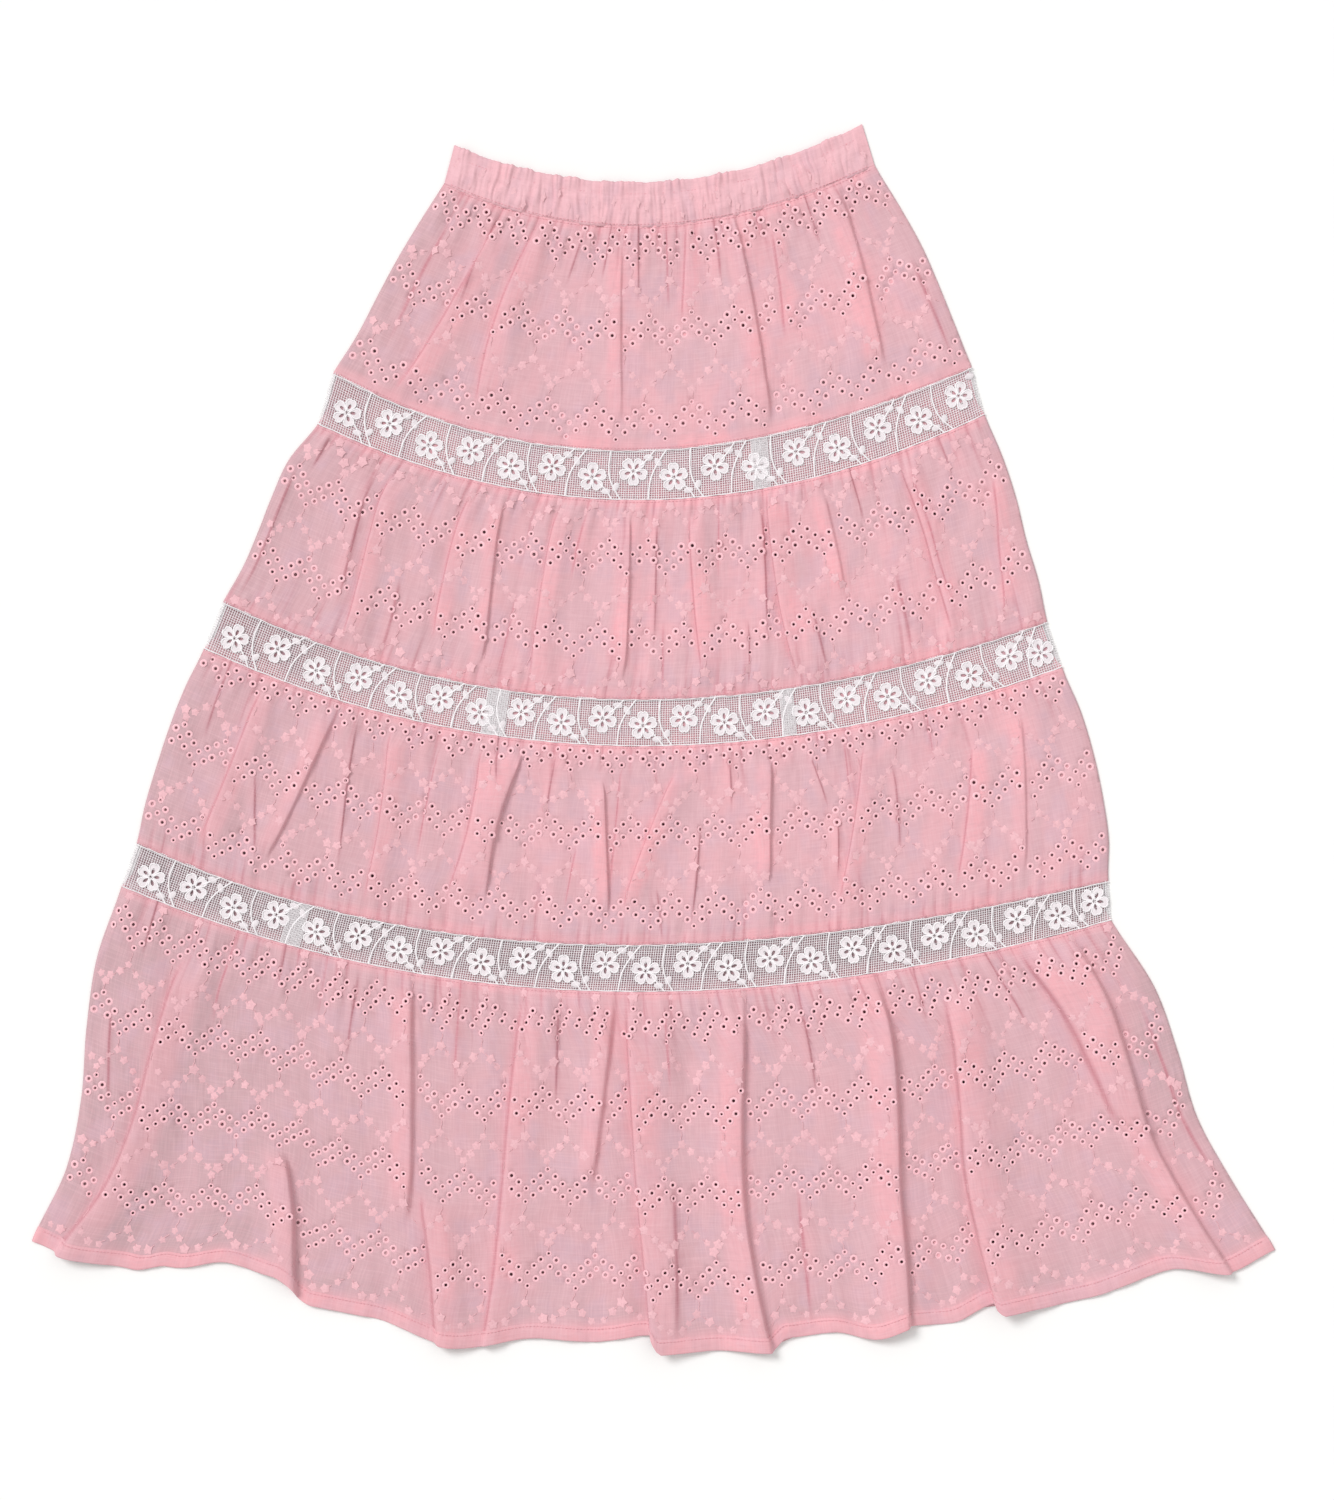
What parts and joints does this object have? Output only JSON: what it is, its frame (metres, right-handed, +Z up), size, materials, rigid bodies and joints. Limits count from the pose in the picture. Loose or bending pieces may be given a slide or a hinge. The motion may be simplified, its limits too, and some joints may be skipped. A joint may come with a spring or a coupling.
{
  "type": "tiered ruffle skirt",
  "caption": "Long tiered ruffle skirt laid flat: gathered cotton tiers with eyelets, lace bands between them, elastic waist and turned hem.",
  "frame": {"origin": "middle of the laid skirt's outline, on the surface that it lies on", "axes": "+Z up through the layers, +Y from the hem towards the waist, +X towards the right side of the laid skirt"},
  "size_m": [0.9934, 0.983, 0.0143],
  "materials": {
    "cotton": "matte woven cotton with eyelet embroidery",
    "lace": "matte net lace"
  },
  "bodies": {
    "root": {"waistband_front": "cotton", "waistband_back": "cotton", "tier1_front": "cotton", "tier1_back": "cotton", "lace1_front": "lace", "lace1_back": "lace", "tier2_front": "cotton", "tier2_back": "cotton", "lace2_front": "lace", "lace2_back": "lace", "tier3_front": "cotton", "tier3_back": "cotton", "lace3_front": "lace", "lace3_back": "lace", "tier4_front": "cotton", "tier4_back": "cotton"}
  },
  "joints": []
}
